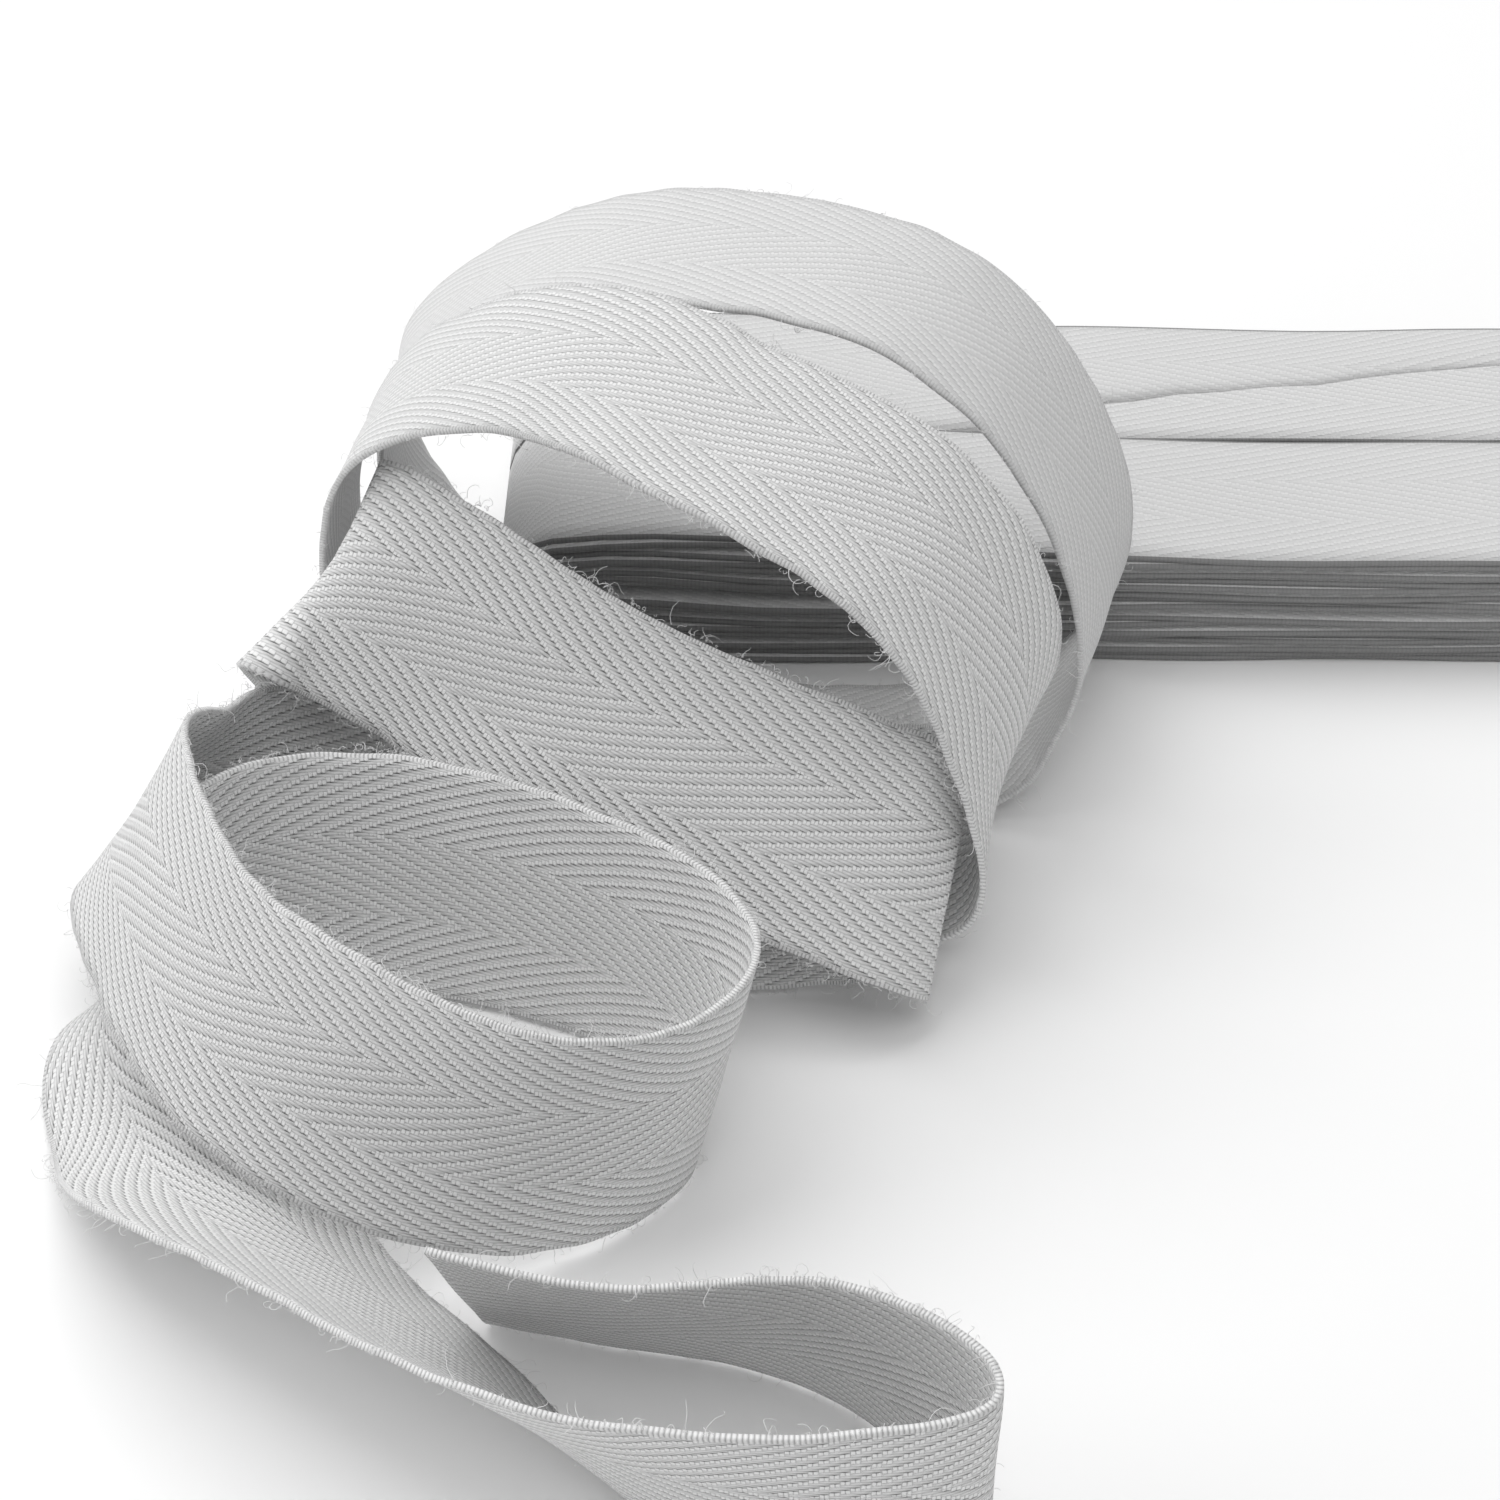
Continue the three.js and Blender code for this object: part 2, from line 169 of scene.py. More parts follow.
# How finely a turn is laid: along a straight run, around a fold and across.
RUN_STEPS = 34
FOLD_STEPS = 9
WOUND_STEPS_ACROSS = 8
# How far the turns slip sideways and wave up and down, and how closely those waves follow each
# other, in waves to the millimetre.
SIDE_SLIP = 1.0
UP_AND_DOWN = 0.10
SLIP_WAVES = 0.035
LIFT_WAVES = 0.05
# How far the upper turns of the front lean back, along the bundle, and the back's share of that.
FRONT_LEAN = ((-2, 1.6), (16, 2.9), (27, 2.6), (69, 0.2), (206, 0))
BACK_SHARE = 0.35
# The front edge of the top turn at the back, which wanders off and shows the turn below it, how far
# that edge sinks onto it, and over what width.
WANDERING_EDGE = ((-2, 0), (50, 0), (54, 1.2), (70, 7.6), (81, 10.4), (92, 12.4), (108, 15.8),
                  (119, 17.2), (150, 18.5), (180, 14), (200, 0), (206, 0))
EDGE_SINK = 0.62
EDGE_SINK_WIDTH = 2.2

# The weave: warp ends to a rib, how far the yarns wobble across and along, and how high they stand,
# from 0 to 1. A warp end is round and bulges where it floats. A weft pick is a pair of beads, with a
# pinhole where it comes up beside the warp. The rib is the ridge that the floats make together.
ENDS_TO_A_RIB = 4
WOBBLE_ACROSS = 0.10
WOBBLE_ALONG = 0.22
WARP_HEIGHT = 0.34
WARP_ROUND = 0.20
WARP_BULGE = 0.22
WEFT_HEIGHT = 0.42
WEFT_BEAD = 0.90
BEAD_POWER = 0.6
PINHOLE_DEPTH = 0.75
PINHOLE_STEEPNESS = 3.2
YARN_SHARE = 0.84
RIB_SHARE = 0.20
# How near the edge the plain rim and the painted shade of a pressed edge lie, where 0 is the edge
# itself and 1 the middle of the tape, and how high the rim stands.
RIM = 0.065
PAINTED_SHADE_EDGE = 0.045
RIM_HEIGHT = 0.45
RIM_ROUND = 0.45
# The weave is faint up to the first length along the tape and full from the second on.
FAINT_TO = 150.0
FULL_FROM = 460.0
# How the yarns' height becomes painted shade, from 0 for the shaded hollows to 1 for the lit tops.
MIDDLE_HEIGHT = 0.60
MIDDLE_TONE = 0.68
TONE_SPAN = 1.25
# The scale and the detail of each mottle.
SPECKLE = (0.9, 2.0)
SLUB = (2.3, 3.0)
CLOUD = (0.07, 3.0)
FLECK = (900.0, 2.0)
# How far the slubs change the tone and the relief, and how strongly and darkly the clouds show.
SLUB_TONE = 0.24
SLUB_RELIEF = 0.35
CLOUD_STRENGTH = 0.22
CLOUD_SHADE = 0.72
# The weave's relief, in metres, and how much of it shows.
RELIEF_DEPTH = 0.00022
RELIEF_STRENGTH = 0.9

# The fluff: the seed of its random draws, how dark and how light it is beside the cotton, how it
# gathers towards the cut end, and what share of it leaves the face.
FLUFF_SEED = 11
FLUFF_DARK = 0.8
FLUFF_LIGHT = 1.05
GATHERING = 0.75
FACE_FIBRES = 0.16
# The fibres' lengths, the steps in each, and how they curl, wander and taper.
FACE_LENGTHS = (0.5, 1.1)
EDGE_SHORTEST = 0.7
EDGE_LONGER = 2.6
EDGE_RARITY = 2.2
FIBRE_STEPS = 7
CURL = 0.42
WANDER = 0.22
TAPER = 0.45
# How far off the middle of the cloth a fibre starts, and how steeply it leaves the face, or how far
# outwards and how tilted it leaves the edge, and how far it slants along the tape.
FACE_START = 0.35
EDGE_START = 0.3
FACE_RISE = 1.4
EDGE_OUTWARD = (0.4, 1.3)
EDGE_TILT = 0.9
SLANT = 1.4

# The lights, in metres and watts: each one's place, what it points at, its side and its power. Then
# the sky's strength and, in metres, half the floor's side.
Lamp = namedtuple("Lamp", "name spot aim side power")
LAMPS = (
    Lamp("key_light", (-0.40, 0.45, 1.05), (-0.03, -0.02, 0.01), 1.20, 9.6),
    Lamp("side_light", (-0.75, -0.15, 0.45), (-0.06, -0.04, 0.02), 0.40, 1.0),
    Lamp("front_light", (0.05, -0.55, 1.1), (-0.03, -0.03, 0.02), 0.60, 2.0),
)
SKY_STRENGTH = 0.44
FLOOR_REACH = 3.0

# The photograph's view: the camera's place, how many degrees it looks down, and a lens and a sensor
# that give an angle of view of 28 degrees.
CAMERA_PLACE = Vector((27.4, -275.6, 202.8))
CAMERA_DOWN = 38
CAMERA_LENS = 72
CAMERA_SENSOR = 36


def between(rows, x, eased=True):
    """A value between the rows of a short table, eased from row to row or in straight lines."""
    if x <= rows[0][0]:
        return rows[0][1]
    for (x0, a), (x1, b) in zip(rows, rows[1:]):
        if x <= x1:
            part = (x - x0) / (x1 - x0)
            rise = (b - a) * part
            return a + (rise * part * (3 - 2 * part) if eased else rise)
    return rows[-1][1]


def add_object(name, data):
    made = bpy.data.objects.new(name, data)
    bpy.context.collection.objects.link(made)
    return made


# Sizes and colours that a user would change.
class TapeSizes(bpy.types.PropertyGroup):
    """Sizes of the tape, in metres."""

    width: FloatProperty(name="Width", description="Width of the tape",
                         default=0.025, unit="LENGTH")
    thick: FloatProperty(name="Thickness", description="Thickness of the loose tape",
                         default=0.0006, unit="LENGTH")
    wound_thick: FloatProperty(name="Wound thickness", description="Thickness of a pressed turn",
                               default=0.00058, unit="LENGTH")
    ripple: FloatProperty(name="Ripple", description="How far the loose tape ripples",
                          default=0.0002, unit="LENGTH")
    bands: IntProperty(name="Bands", description="Herringbone bands across the tape", default=3)
    ribs: IntProperty(name="Ribs", description="Twill ribs across the tape", default=21)
    pick: FloatProperty(name="Pick", description="Length of one double weft pick",
                        default=0.00076, unit="LENGTH")
    fibres: IntProperty(name="Fibres", description="Loose fibres along the edges", default=3400)
    fibre_thick: FloatProperty(name="Fibre thickness", description="Thickness of a loose fibre",
                               default=0.00007, unit="LENGTH")


class TapeColours(bpy.types.PropertyGroup):
    """Colours of the cotton, of the shade painted into its hollows, and of the floor."""

    cotton: FloatVectorProperty(name="Cotton", description="The light tops of the yarns",
                                default=(0.90, 0.90, 0.90), size=3, subtype="COLOR")
    # Painted shade: the dark painted into the hollows between the yarns, where shade falls.
    hollow_shade: FloatVectorProperty(name="Hollows", description="The dark between the yarns",
                                default=(0.10, 0.10, 0.10), size=3, subtype="COLOR")
    floor: FloatVectorProperty(name="Floor", description="The pale floor",
                               default=(0.96, 0.96, 0.96), size=3, subtype="COLOR")


def sizes():
    return bpy.context.scene.tape_sizes


def colours():
    return bpy.context.scene.tape_colours


def rgba(colour, factor=1.0):
    return (colour[0] * factor, colour[1] * factor, colour[2] * factor, 1)


class Wire:
    """A socket that takes part in Python sums."""

    def __init__(self, paint, socket):
        self.paint = paint
        self.socket = socket

    def maths(self, operation, *values):
        return self.paint.node("ShaderNodeMath", {"operation": operation}, dict(enumerate(values)))

    def __add__(self, other):
        return self.maths("ADD", self, other)

    def __radd__(self, other):
        return self.maths("ADD", other, self)

    def __sub__(self, other):
        return self.maths("SUBTRACT", self, other)

    def __rsub__(self, other):
        return self.maths("SUBTRACT", other, self)

    def __mul__(self, other):
        return self.maths("MULTIPLY", self, other)

    def __rmul__(self, other):
        return self.maths("MULTIPLY", other, self)

    def __truediv__(self, other):
        return self.maths("DIVIDE", self, other)

    def __mod__(self, other):
        return self.maths("FLOORED_MODULO", self, other)

    def __pow__(self, other):
        return self.maths("POWER", self, other)

    def __lt__(self, other):
        return self.maths("LESS_THAN", self, other)

    def floor(self):
        return self.maths("FLOOR", self)

    def fraction(self):
        return self.maths("FRACT", self)

    def clipped(self):
        """Kept between 0 and 1."""
        return self.maths("MAXIMUM", self.maths("MINIMUM", self, 1.0), 0.0)

    def hump(self):
        """0 at 0 and at 1, and 1 half way."""
        return self * (1 - self) * 4

    def beside(self, output):
        """Another output of the same node."""
        return Wire(self.paint, self.socket.node.outputs[output])


class Paint:
    """A material and its nodes."""

    def __init__(self, name, roughness, sheen):
        self.material = bpy.data.materials.new(name)
        self.material.use_nodes = True
        self.tree = self.material.node_tree
        self.shader = self.tree.nodes["Principled BSDF"]
        self.put("Roughness", roughness)
        self.put("Specular IOR Level", 0.2)
        self.put("Sheen Weight", sheen)
        self.put("Sheen Roughness", 0.6)

    def node(self, kind, settings=None, inputs=None, output=0):
        made = self.tree.nodes.new(kind)
        for key, value in (settings or {}).items():
            setattr(made, key, value)
        for key, value in (inputs or {}).items():
            self.feed(made.inputs[key], value)
        return Wire(self, made.outputs[output])

    def feed(self, socket, value):
        if isinstance(value, Wire):
            self.tree.links.new(value.socket, socket)
        else:
            socket.default_value = value

    def put(self, name, value):
        self.feed(self.shader.inputs[name], value)

    def mottle(self, place, scale, detail):
        return self.node("ShaderNodeTexNoise", None,
                         {"Vector": place, "Scale": scale, "Detail": detail})

    def mix(self, factor, a, b):
        """Between two values."""
        return self.node("ShaderNodeMix", {"data_type": "FLOAT"},
                         {"Factor": factor, "A": a, "B": b})

    def blend(self, factor, a, b):
        """Between two colours. The colour sockets share their names with others, so they have
        numbers here."""
        return self.node("ShaderNodeMix", {"data_type": "RGBA"}, {0: factor, 6: a, 7: b}, 2)


def herringbone(paint, across, along, speckle):
    """How high the yarns stand, from 0 to 1: a two by two twill that turns back at each band."""
    size = sizes()
    width = size.width / MM
    band_width = width / size.bands
    end_width = width / size.ribs / ENDS_TO_A_RIB
    x = across + (speckle - 0.5) * WOBBLE_ACROSS
    y = along + (speckle - 0.5) * WOBBLE_ALONG
    band = (x / band_width).floor()
    odd = band % 2
    way = odd * 2 - 1
    end = (x - band * band_width) / end_width
    pick = y / (size.pick / MM)
    in_end = end.fraction()
    in_pick = pick.fraction()
    phase = (end.floor() * way + pick.floor()) % 4
    warp_up = phase < 2
    rib = ((end * way + pick - 1 - odd) * 0.25).fraction().hump()
    bulge = ((phase + in_pick) * 0.5).hump()
    warp = in_end.hump() * WARP_ROUND + bulge * WARP_BULGE + WARP_HEIGHT
    side = paint.mix(odd, 1 - in_end, in_end)
    reach = (phase - 2 + side) * 0.5
    bead = (in_pick * 2).fraction().hump() ** BEAD_POWER
    pinhole = (1 - reach * PINHOLE_STEEPNESS).clipped() * in_pick.hump()
    weft = WEFT_HEIGHT + bead * reach.hump() * WEFT_BEAD - pinhole * PINHOLE_DEPTH
    return (paint.mix(warp_up, weft, warp) * YARN_SHARE + rib * RIB_SHARE).clipped()


def cotton_tape(name, contrast, faint_contrast, painted_edge_shade):
    """Woven cotton tape. The weave reads the piece's own map, in millimetres: X runs across the tape
    and Y along it. It shows less at the start of the length than farther on. Along edges pressed
    together, shade is painted into the colour: they are darker by painted_edge_shade."""
    paint = Paint(name, roughness=0.92, sheen=0.12)
    size = sizes()
    colour = colours()
    place = paint.node("ShaderNodeUVMap", {"uv_map": "weave"})
    across = paint.node("ShaderNodeSeparateXYZ", None, {"Vector": place}, "X")
    along = across.beside("Y")
    speckle = paint.mottle(place, *SPECKLE)
    slub = paint.mottle(place, *SLUB)
    cloud = paint.mottle(place, *CLOUD)
    inward = (across / (size.width / MM)).hump()
    rim_rib = (along / (size.pick / MM) * 2).fraction().hump() * RIM_ROUND + RIM_HEIGHT
    height = paint.mix(inward < RIM, herringbone(paint, across, along, speckle), rim_rib)
    shown = paint.node("ShaderNodeMapRange", {"interpolation_type": "SMOOTHSTEP"},
                       {"Value": along, "From Min": FAINT_TO, "From Max": FULL_FROM,
                        "To Min": faint_contrast, "To Max": contrast})
    # Painted light and shade: by their height, the yarns' tops are painted light and the hollows
    # dark.
    tone = MIDDLE_TONE + (height - MIDDLE_HEIGHT) * shown * TONE_SPAN
    tone = (tone * (1 - SLUB_TONE / 2 + slub * SLUB_TONE)).clipped()
    woven = paint.blend(tone, rgba(colour.hollow_shade), rgba(colour.cotton))
    clouded = paint.blend(cloud * CLOUD_STRENGTH, woven, rgba(colour.cotton, CLOUD_SHADE))
    # Painted shade: the colour darkens along pressed edges, where the turns keep the light out.
    light = 1 - (inward < PAINTED_SHADE_EDGE) * painted_edge_shade
    paint.put("Base Color", paint.blend(light, (0, 0, 0, 1), clouded))
    relief = height * shown + slub * SLUB_RELIEF
    paint.put("Normal", paint.node("ShaderNodeBump", None,
                                   {"Height": relief, "Strength": RELIEF_STRENGTH,
                                    "Distance": RELIEF_DEPTH}))
    return paint.material


def fibre_finish():
    paint = Paint("cotton_fluff", roughness=0.8, sheen=0.2)
    colour = colours()
    place = paint.node("ShaderNodeTexCoord", None, None, "Object")
    fleck = paint.mottle(place, *FLECK)
    paint.put("Base Color", paint.blend(fleck, rgba(colour.cotton, FLUFF_DARK),
                                        rgba(colour.cotton, FLUFF_LIGHT)))
    return paint.material


def natural_curve(knots, rows):
    """A natural cubic curve through rows of numbers at the given knots."""
    count = len(rows)
    steps = [b - a for a, b in zip(knots, knots[1:])]
    bends = [Vector([0] * len(rows[0])) for _ in rows]
    # The equations for the bends are solved forwards, then back.
    upper = [0.0] * count
    right = [Vector([0] * len(rows[0])) for _ in rows]
    for i in range(1, count - 1):
        rise = (rows[i + 1] - rows[i]) / steps[i] - (rows[i] - rows[i - 1]) / steps[i - 1]
        pivot = 2 * (steps[i - 1] + steps[i]) - steps[i - 1] * upper[i - 1]
        upper[i] = steps[i] / pivot
        right[i] = (3 * rise - steps[i - 1] * right[i - 1]) / pivot
    for i in range(count - 2, 0, -1):
        bends[i] = right[i] - upper[i] * bends[i + 1]

    def at(t):
        i = 0
        while i < count - 2 and t > knots[i + 1]:
            i += 1
        u = t - knots[i]
        h = steps[i]
        slope = (rows[i + 1] - rows[i]) / h - h * (2 * bends[i] + bends[i + 1]) / 3
        return rows[i] + slope * u + bends[i] * u * u + (bends[i + 1] - bends[i]) / (3 * h) * u ** 3
    return at


def loose_route():
    """The loose end's curve in fine steps, each with its middle and its width's direction, how far
    along it each step is, and each station's place as a share of the whole length."""
    rows = []
    for s in STATIONS:
        tip = math.radians(s.tip)
        yaw = math.radians(s.yaw)
        level = math.cos(tip)
        rows.append(Vector((s.x, s.y, s.z, -level * math.sin(yaw), -level * math.cos(yaw),
                            -math.sin(tip))))
    knots = [0.0]
    for a, b in zip(rows, rows[1:]):
        knots.append(knots[-1] + math.sqrt((Vector(b[:3]) - Vector(a[:3])).length))
    curve = natural_curve(knots, rows)
    points = [curve(knots[-1] * i / ROUTE_STEPS) for i in range(ROUTE_STEPS + 1)]
    lengths = [0.0]
    for a, b in zip(points, points[1:]):
        lengths.append(lengths[-1] + (Vector(b[:3]) - Vector(a[:3])).length)
    shares = {}
    for s, knot in zip(STATIONS, knots):
        shares[s.at] = lengths[round(ROUTE_STEPS * knot / knots[-1])] / lengths[-1]
    return points, lengths, shares


def calm(points, first, last):
    """Evens out a stretch of the route, fading in and out at its ends."""
    for _ in range(CALM_PASSES):
        before = [p.copy() for p in points]
        total = Vector([0] * 6)
        for k in range(first - CALM_REACH, first + CALM_REACH):
            total += before[k]
        for k in range(first, last):
            total += before[k + CALM_REACH]
            fade = min(1, (k - first) / (4 * CALM_REACH), (last - k) / (4 * CALM_REACH))
            points[k] = before[k].lerp(total / (2 * CALM_REACH + 1), fade)
            total -= before[k - CALM_REACH]


def loose_sections():
    """The loose tape at even steps: its middle and the directions of its width, its face and its
    length, and how long it is."""
    points, lengths, shares = loose_route()
    evenly = []
    j = 0
    for k in range(LOOSE_STEPS + 1):
        goal = lengths[-1] * k / LOOSE_STEPS
        while j < len(lengths) - 2 and lengths[j + 1] < goal:
            j += 1
        part = (goal - lengths[j]) / max(1e-9, lengths[j + 1] - lengths[j])
        evenly.append(points[j].lerp(points[j + 1], min(1, part)))
    calm(evenly, round(shares[CALM_FROM] * LOOSE_STEPS), round(shares[CALM_TO] * LOOSE_STEPS))
    size = sizes()
    half_width = size.width / MM / 2
    half_thick = size.thick / MM / 2
    sections = []
    for k, here in enumerate(evenly):
        before = evenly[max(0, k - 1)]
        after = evenly[min(LOOSE_STEPS, k + 1)]
        along = (Vector(after[:3]) - Vector(before[:3])).normalized()
        across = Vector(here[3:])
        across = (across - along * across.dot(along)).normalized()
        out = across.cross(along).normalized()
        middle = Vector(here[:3])
        lowest = middle.z - abs(across.z) * half_width - abs(out.z) * half_thick
        middle.z += max(0.0, GAP_BELOW - lowest)
        sections.append((middle, across, out, along))
    return sections, lengths[-1]


def laid_strip(columns, rows, length, place):
    """A strip of tape: a flat grid whose map is set in millimetres, then laid where place says.
    place takes how far along and how far across a point is, from 0 to 1, and gives its spot and its
    place across the tape, in millimetres."""
    bm = bmesh.new()
    weave = bm.loops.layers.uv.new("weave")
    bmesh.ops.create_grid(bm, x_segments=columns, y_segments=rows, size=0.5)
    for vert in bm.verts:
        along = vert.co.x + 0.5
        spot, across = place(along, vert.co.y + 0.5)
        for loop in vert.link_loops:
            loop[weave].uv = (across, along * length)
        vert.co = (spot - ORIGIN) * MM
    return bm


def cloth_piece(name, bm, thick, finish):
    mesh = bpy.data.meshes.new(name)
    bm.to_mesh(mesh)
    bm.free()
    for face in mesh.polygons:
        face.use_smooth = True
    mesh.materials.append(finish)
    piece = add_object(name, mesh)
    cloth = piece.modifiers.new("cloth", "SOLIDIFY")
    cloth.thickness = thick
    cloth.offset = 0
    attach(piece, "root")
    return piece


class TAPE_OT_loose_end(bpy.types.Operator):
    """Lays the loose end of the tape along its spiral"""

    bl_idname = "tape.loose_end"
    bl_label = "Loose end"

    def execute(self, context):
        size = sizes()
        sections, length = loose_sections()
        width = size.width / MM
        ripple = size.ripple / MM

        def place(along, across):
            middle, side, out, _ = sections[round(along * LOOSE_STEPS)]
            spot = Vector((along * length, across * width, 0))
            edge = abs(2 * across - 1) ** 3
            edge_wave = noise.noise(spot * EDGE_WAVES + Vector((7, 3, 1)))
            wave = noise.noise(spot * FACE_WAVES) + edge * edge_wave
            drift = noise.noise(Vector((along * length * WIDTH_WAVES, round(across), 5)))
            drift = drift * edge * EDGE_DRIFT
            point = middle + side * ((across - 0.5) * width + drift) + out * wave * ripple
            point.z = max(point.z, LOOSE_LOWEST)
            return point, across * width

        bm = laid_strip(LOOSE_STEPS, LOOSE_STEPS_ACROSS, length, place)
        bmesh.ops.smooth_vert(bm, verts=bm.verts, factor=0.5, use_axis_x=True, use_axis_y=True,
                              use_axis_z=True)
        finish = cotton_tape("woven_tape", contrast=1.0, faint_contrast=0.35, painted_edge_shade=0.0)
        piece = cloth_piece("loose_tape", bm, size.thick, finish)
        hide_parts("loose_end")
        length * MM
        return {"FINISHED"}


def wound_line():
    """The middle line of a column's turns seen from the front, from the outer turn inwards: x, z,
    the turn it is on and how high it lies, from 0 at the bottom run to 1 at the top run."""
    left = BUNDLE_LEFT + FOLD_RADIUS
    right = BUNDLE_RIGHT - FOLD_RADIUS
    depths = tuple(enumerate(TURN_DEPTHS))
    run = [k / RUN_STEPS for k in range(RUN_STEPS)]
    fold = [k / FOLD_STEPS for k in range(FOLD_STEPS)]

    def radius(turns):
        return FOLD_RADIUS - between(depths, turns, eased=False)

    line = []
    for turn in range(len(TURN_DEPTHS) - 1):
        for part in run:
            height = FOLD_RADIUS - radius(turn + IN_AT_RIGHT * part)
            line.append((left + (right - left) * part, height, turn, 0.0))
        for part in fold:
            angle = math.pi * (part - 0.5)
            reach = radius(turn + IN_AT_RIGHT)
            line.append((right + reach * math.cos(angle), FOLD_RADIUS + reach * math.sin(angle),
                         turn, part))
        for part in run:
            height = FOLD_RADIUS + radius(turn + IN_AT_RIGHT + (IN_AT_LEFT - IN_AT_RIGHT) * part)
            line.append((right + (left - right) * part, height, turn, 1.0))
        for part in fold:
            angle = math.pi * (part + 0.5)
            reach = radius(turn + IN_AT_LEFT + (1 - IN_AT_LEFT) * part)
            line.append((left + reach * math.cos(angle), FOLD_RADIUS + reach * math.sin(angle),
                         turn, 1 - part))
    return line


def pressed(x, z):
    """Where a height of the even stack comes to lie in the uneven one."""
    height = between(STACK, x)
    slit = between(SLIT, x)
    if z < FOLD_RADIUS:
        return z / FOLD_RADIUS * slit
    return slit + (z - FOLD_RADIUS) / FOLD_RADIUS * (height - slit)


class TAPE_OT_bundle(bpy.types.Operator):
    """Winds the two columns of the bundle turn by turn"""

    bl_idname = "tape.bundle"
    bl_label = "Bundle"

    def execute(self, context):
        # The wound turns carry painted shade along their pressed edges.
        finish = cotton_tape("wound_tape", contrast=0.25, faint_contrast=0.2, painted_edge_shade=0.62)
        for name, front in COLUMN_FRONTS:
            self.wind(name, front, finish)
        return {"FINISHED"}

    def wind(self, name, front, finish):
        size = sizes()
        width = size.width / MM
        back = name == "back_column"
        lean_share = BACK_SHARE if back else 1
        line = wound_line()
        length = 0.0
        for (x0, z0, _, _), (x1, z1, _, _) in zip(line, line[1:]):
            length += math.hypot(x1 - x0, z1 - z0)
        columns = len(line) - 1

        def place(along, across):
            x, z, turn, up = line[round(along * columns)]
            # Each run of each turn reads the noise at a place of its own.
            slip_seed = Vector((x * SLIP_WAVES, turn * 2.7 + up * 1.3, front))
            lift_seed = Vector((x * LIFT_WAVES, across * 2, turn * 3.1 + up))
            slip = SIDE_SLIP * noise.noise(slip_seed)
            lift = UP_AND_DOWN * noise.noise(lift_seed)
            lean = between(FRONT_LEAN, x) * (z / BUNDLE_HEIGHT) ** 2 * lean_share
            wanders = back and turn == 0 and up == 1.0
            tucked = between(WANDERING_EDGE, x) if wanders else 0
            far = (1 - across) * width * (width - tucked) / width
            sunk = 0
            if tucked > 0:
                sunk = EDGE_SINK * max(0, 1 - (width - tucked) * (1 - across) / EDGE_SINK_WIDTH)
            height = pressed(x, z) + lift * min(1, z) - sunk * min(1, tucked)
            point = Vector((x, front + tucked + far + slip + lean, max(WOUND_LOWEST, height)))
            return point, width - (far + tucked)

        bm = laid_strip(columns, WOUND_STEPS_ACROSS, length, place)
        piece = cloth_piece(name, bm, size.wound_thick, finish)
        if back:
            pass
        else:
            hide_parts("wound_bundle")


class TAPE_OT_fluff(bpy.types.Operator):
    """Grows loose cotton fibres along the edges of the loose end"""

    bl_idname = "tape.fluff"
    bl_label = "Fluff"

    def execute(self, context):
        size = sizes()
        draw = random.Random(FLUFF_SEED)
        sections, _ = loose_sections()
        curve = bpy.data.curves.new("fluff_lines", "CURVE")
        curve.dimensions = "3D"
        curve.bevel_depth = size.fibre_thick / 2
        curve.bevel_resolution = 0
        curve.resolution_u = 1
        for _ in range(size.fibres):
            self.fibre(curve, sections, size.width / MM, draw)
        guide = add_object("fluff_guide", curve)
        bpy.context.view_layer.update()
        graph = bpy.context.evaluated_depsgraph_get()
        mesh = bpy.data.meshes.new_from_object(guide.evaluated_get(graph))
        bpy.data.objects.remove(guide)
        mesh.name = "edge_fluff"
        mesh.materials.clear()
        mesh.materials.append(fibre_finish())
        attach(add_object("edge_fluff", mesh), "root")
        return {"FINISHED"}

    def fibre(self, curve, sections, width, draw):
        """One fibre: it leaves the tape's edge, or now and then its face, and curls."""
        spot = draw.random() ** GATHERING
        middle, side, out, along = sections[int(spot * (len(sections) - 1))]
        edge = draw.choice((-1, 1))
        on_face = draw.random() < FACE_FIBRES
        across = draw.uniform(-0.5, 0.5) if on_face else edge * 0.5
        start = draw.uniform(-EDGE_START, EDGE_START)
        if on_face:
            heading = out * draw.choice((-1, 1)) * FACE_RISE
            point = middle + side * (across * width) + heading.normalized() * FACE_START
        else:
            heading = side * edge * draw.uniform(*EDGE_OUTWARD)
            heading = heading + out * draw.uniform(-EDGE_TILT, EDGE_TILT)
            point = middle + side * (across * width) + out * start
        heading = (heading + along * draw.uniform(-SLANT, SLANT)).normalized()
        if on_face:
            length = draw.uniform(*FACE_LENGTHS)
        else:
            length = EDGE_SHORTEST + EDGE_LONGER * draw.random() ** EDGE_RARITY
        curl = self.stray(draw) * CURL
        line = curve.splines.new("POLY")
        line.points.add(FIBRE_STEPS)
        for k in range(FIBRE_STEPS + 1):
            point.z = max(point.z, FIBRE_LOWEST)
            line.points[k].co = (*((point - ORIGIN) * MM), 1)
            line.points[k].radius = 1.0 - TAPER * k / FIBRE_STEPS
            heading = (heading + curl.cross(heading) + self.stray(draw) * WANDER).normalized()
            point = point + heading * (length / FIBRE_STEPS)

    def stray(self, draw):
        return Vector((draw.gauss(0, 1), draw.gauss(0, 1), draw.gauss(0, 1)))


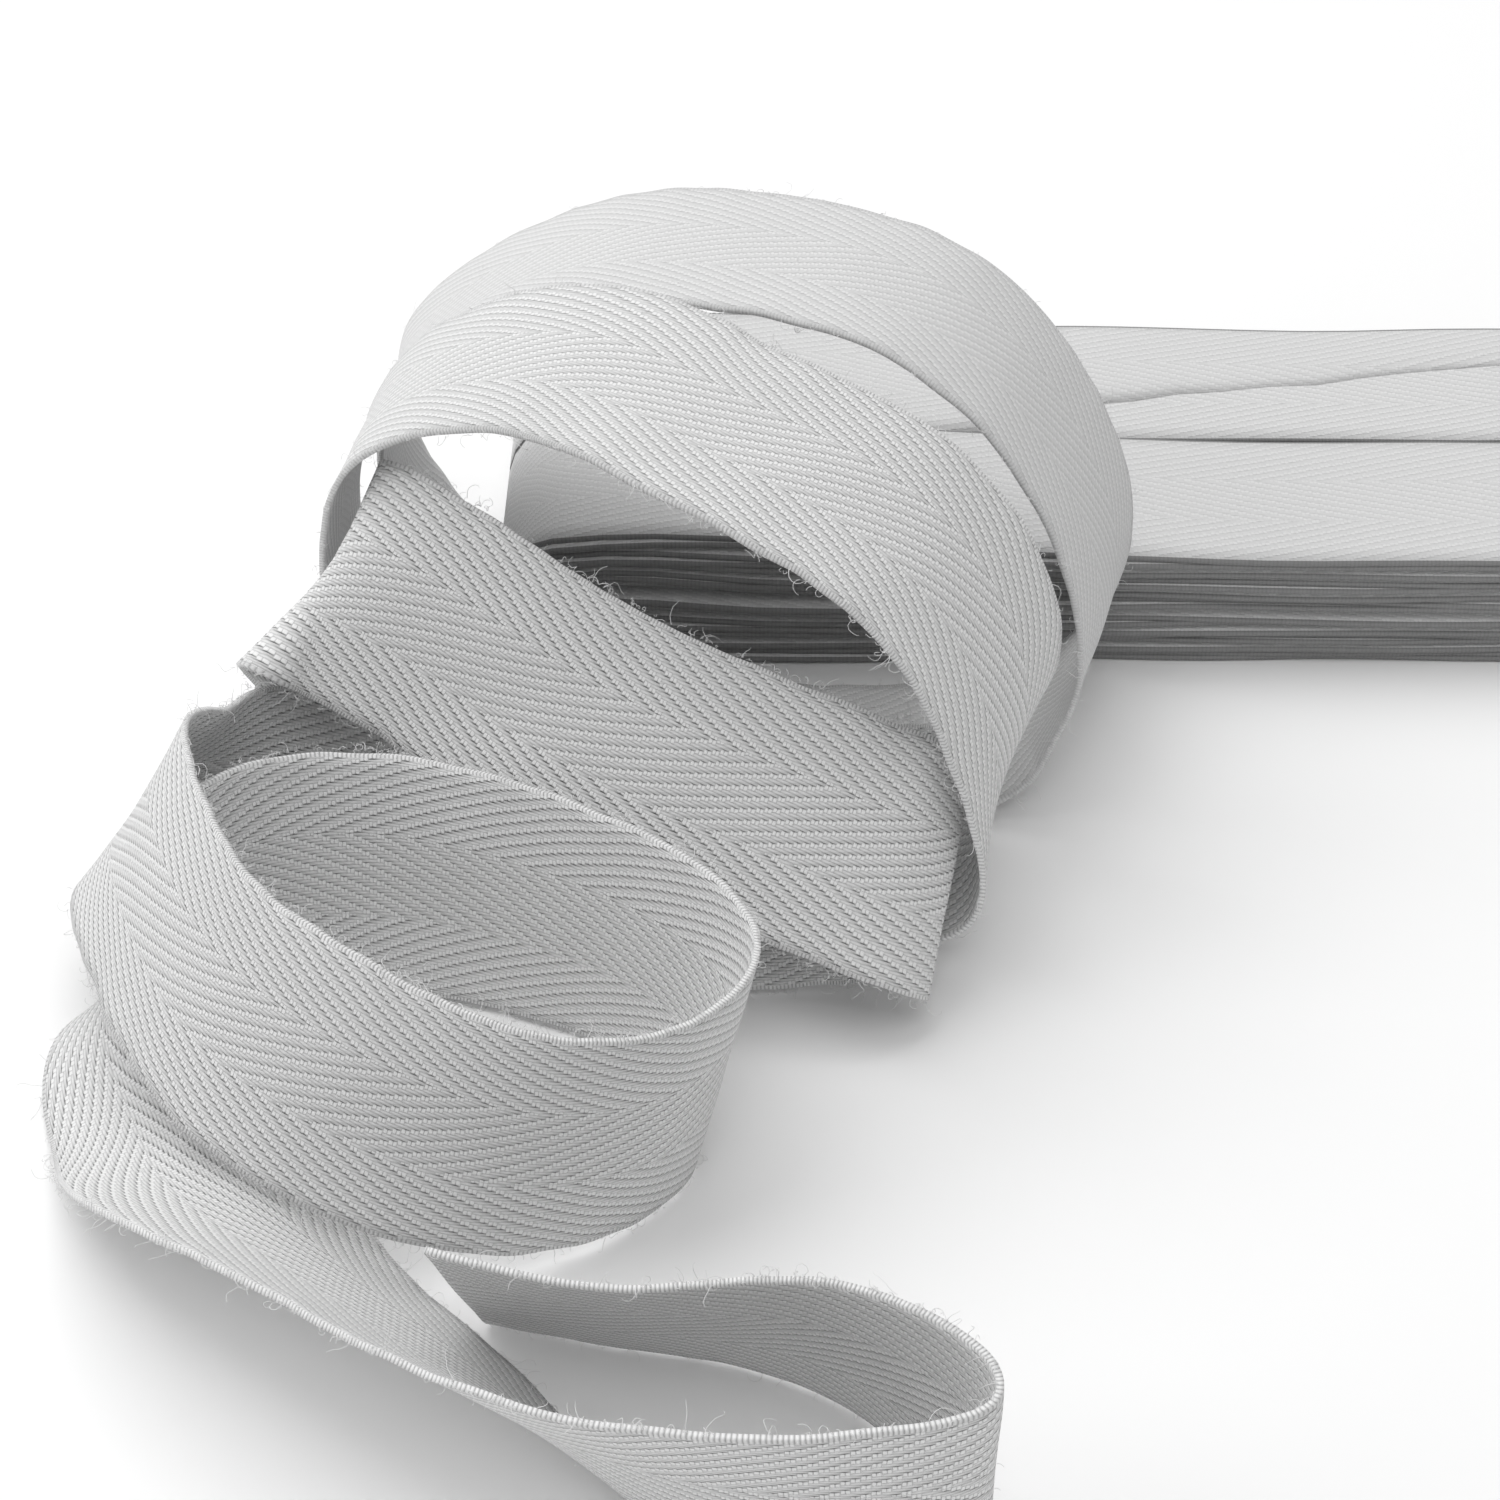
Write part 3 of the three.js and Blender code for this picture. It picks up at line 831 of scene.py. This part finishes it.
class TAPE_OT_stage(bpy.types.Operator):
    """Sets the pale floor, the soft lights and the camera"""

    bl_idname = "tape.stage"
    bl_label = "Stage"

    def execute(self, context):
        self.floor()
        for lamp in LAMPS:
            self.light(lamp)
        scene = context.scene
        scene.world = scene.world or bpy.data.worlds.new("studio")
        scene.world.use_nodes = True
        sky = scene.world.node_tree.nodes["Background"]
        sky.inputs["Color"].default_value = (1, 1, 1, 1)
        sky.inputs["Strength"].default_value = SKY_STRENGTH
        scene.view_settings.view_transform = "Standard"
        scene.camera = self.camera()
        return {"FINISHED"}

    def floor(self):
        bm = bmesh.new()
        bmesh.ops.create_grid(bm, x_segments=2, y_segments=2, size=FLOOR_REACH)
        mesh = bpy.data.meshes.new("floor")
        bm.to_mesh(mesh)
        bm.free()
        paint = Paint("pale_floor", roughness=0.85, sheen=0.0)
        paint.put("Base Color", rgba(colours().floor))
        mesh.materials.append(paint.material)
        add_object("floor", mesh)

    def light(self, lamp):
        data = bpy.data.lights.new(lamp.name, "AREA")
        data.shape = "SQUARE"
        data.size = lamp.side
        data.energy = lamp.power
        made = add_object(lamp.name, data)
        made.location = lamp.spot
        look = Vector(lamp.aim) - Vector(lamp.spot)
        made.rotation_euler = look.to_track_quat("-Z", "Y").to_euler()

    def camera(self):
        data = bpy.data.cameras.new("camera")
        data.sensor_width = CAMERA_SENSOR
        data.lens = CAMERA_LENS
        data.clip_start = 0.01
        made = add_object("camera", data)
        made.location = (CAMERA_PLACE - ORIGIN) * MM
        made.rotation_euler = (math.radians(90 - CAMERA_DOWN), 0, 0)
        return made


class TAPE_PT_panel(bpy.types.Panel):
    """The steps that dress the roll, and its sizes and colours"""

    bl_label = "Seam tape roll"
    bl_idname = "TAPE_PT_panel"
    bl_space_type = "VIEW_3D"
    bl_region_type = "UI"
    bl_category = "Tape"

    def draw(self, context):
        for step in STEPS:
            self.layout.operator(step.bl_idname)
        for group in (context.scene.tape_sizes, context.scene.tape_colours):
            box = self.layout.box()
            for name in group.__annotations__:
                box.prop(group, name)


STEPS = (TAPE_OT_stage, TAPE_OT_bundle, TAPE_OT_loose_end, TAPE_OT_fluff)
CLASSES = (TapeSizes, TapeColours, *STEPS, TAPE_PT_panel)


def register():
    for made in CLASSES:
        bpy.utils.register_class(made)
    bpy.types.Scene.tape_sizes = PointerProperty(type=TapeSizes)
    bpy.types.Scene.tape_colours = PointerProperty(type=TapeColours)


def unregister():
    del bpy.types.Scene.tape_colours
    del bpy.types.Scene.tape_sizes
    for made in reversed(CLASSES):
        bpy.utils.unregister_class(made)


def main():
    register()
    bpy.ops.tape.stage()
    bpy.ops.tape.bundle()
    bpy.ops.tape.loose_end()
    bpy.ops.tape.fluff()
    bpy.context.view_layer.update()


if __name__ == "__main__":
    main()
